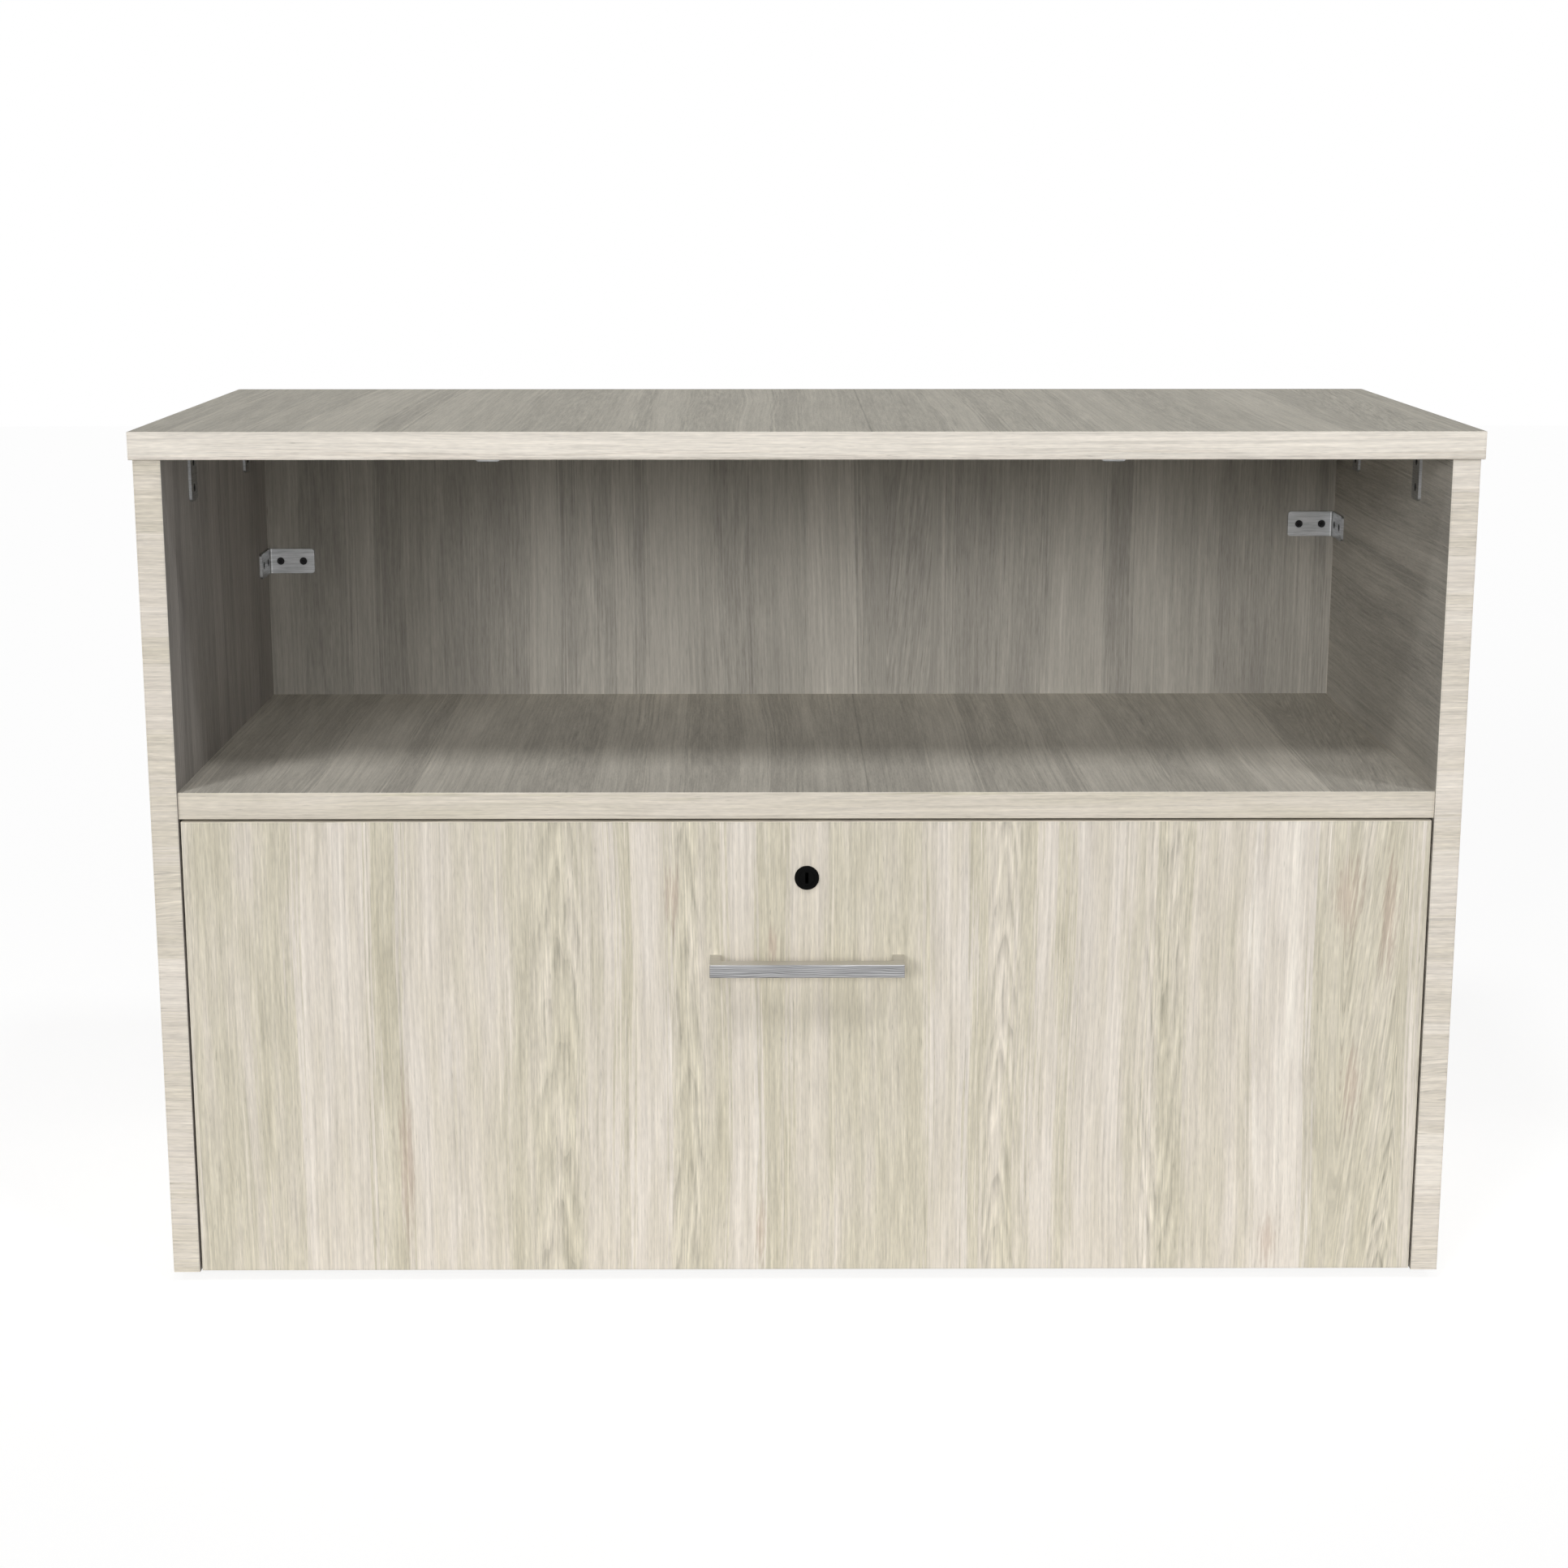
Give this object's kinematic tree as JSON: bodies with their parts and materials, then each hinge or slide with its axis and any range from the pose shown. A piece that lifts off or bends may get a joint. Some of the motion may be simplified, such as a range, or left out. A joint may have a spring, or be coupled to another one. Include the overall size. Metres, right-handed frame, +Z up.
{
  "type": "credenza",
  "caption": "Office credenza in pale wood-grain laminate with an open shelf bay above a wide locking file drawer with a bar pull.",
  "frame": {"origin": "on the floor, in the middle of the overall width and of the overall depth with the pull", "axes": "+X to the right of someone facing the drawer, +Y to the back, +Z up"},
  "size_m": [0.914, 0.4174, 0.6095],
  "materials": {
    "laminate": "matt wood-grain laminate",
    "box_board": "matt melamine",
    "hardboard": "smooth hardboard",
    "dowel_wood": "bare beech",
    "bracket_steel": "zinc plated",
    "slide_steel": "zinc plated",
    "cage_steel": "bare sheet",
    "ball_steel": "polished",
    "pull_steel": "brushed nickel",
    "rail_aluminium": "mill finish",
    "screw_zinc": "zinc plated",
    "screw_black": "black oxide",
    "lock_black": "satin black",
    "lock_metal": "zinc plated",
    "glide_plastic": "moulded"
  },
  "bodies": {
    "carcass": {"top_panel": "laminate", "left_side_panel": "laminate", "right_side_panel": "laminate", "back_panel": "laminate", "shelf_panel": "laminate", "bottom_panel": "laminate", "top_bracket_left_front": "bracket_steel", "top_bracket_left_rear": "bracket_steel", "top_bracket_right_front": "bracket_steel", "top_bracket_right_rear": "bracket_steel", "top_bracket_back_left": "bracket_steel", "top_bracket_back_right": "bracket_steel", "back_bracket_left": "bracket_steel", "back_bracket_right": "bracket_steel", "shelf_brackets": "bracket_steel", "bottom_brackets": "bracket_steel", "lower_back_brackets": "bracket_steel", "bracket_screws": "screw_black", "floor_glides": "glide_plastic", "left_slide_outer": "slide_steel", "right_slide_outer": "slide_steel", "slide_outer_screws": "screw_zinc", "lock_strike": "bracket_steel", "strike_screws": "screw_zinc"},
    "slide_middles": {"left_slide_middle": "slide_steel", "right_slide_middle": "slide_steel"},
    "outer_cages": {"left_outer_ball_cage": "cage_steel", "right_outer_ball_cage": "cage_steel", "outer_race_balls": "ball_steel"},
    "inner_cages": {"left_inner_ball_cage": "cage_steel", "right_inner_ball_cage": "cage_steel", "inner_race_balls": "ball_steel"},
    "drawer": {"drawer_front": "laminate", "drawer_left_side": "box_board", "drawer_right_side": "box_board", "drawer_inner_front": "box_board", "drawer_back": "box_board", "drawer_bottom": "hardboard", "front_hanging_rail": "rail_aluminium", "rear_hanging_rail": "rail_aluminium", "left_slide_inner": "slide_steel", "right_slide_inner": "slide_steel", "slide_inner_screws": "screw_zinc", "corner_dowels": "dowel_wood", "drawer_front_screws": "screw_zinc", "pull_handle": "pull_steel", "handle_screws": "screw_zinc", "lock_housing": "lock_black", "lock_nut": "lock_metal"},
    "lock_core": {"lock_plug": "lock_black", "lock_cam": "lock_metal", "cam_screw": "screw_zinc"}
  },
  "joints": [
    {"name": "drawer_slide", "type": "slide", "parent": "carcass", "child": "drawer", "axis": [0, -1, 0], "range_m": [0, 0.3]},
    {"name": "middle_slide", "type": "slide", "parent": "carcass", "child": "slide_middles", "axis": [0, -1, 0], "range_m": [0, 0.15]},
    {"name": "outer_cage_roll", "type": "slide", "parent": "carcass", "child": "outer_cages", "axis": [0, -1, 0], "range_m": [0, 0.075]},
    {"name": "inner_cage_roll", "type": "slide", "parent": "carcass", "child": "inner_cages", "axis": [0, -1, 0], "range_m": [0, 0.225]},
    {"name": "lock_turn", "type": "hinge", "parent": "drawer", "child": "lock_core", "pos_m": [0, -0.18275, 0.3], "axis": [0, 1, 0], "range_deg": [0, 90]}
  ],
  "couplings": [
    {"joint": "middle_slide", "follows": "drawer_slide", "ratio": 0.5},
    {"joint": "outer_cage_roll", "follows": "drawer_slide", "ratio": 0.25},
    {"joint": "inner_cage_roll", "follows": "drawer_slide", "ratio": 0.75}
  ]
}
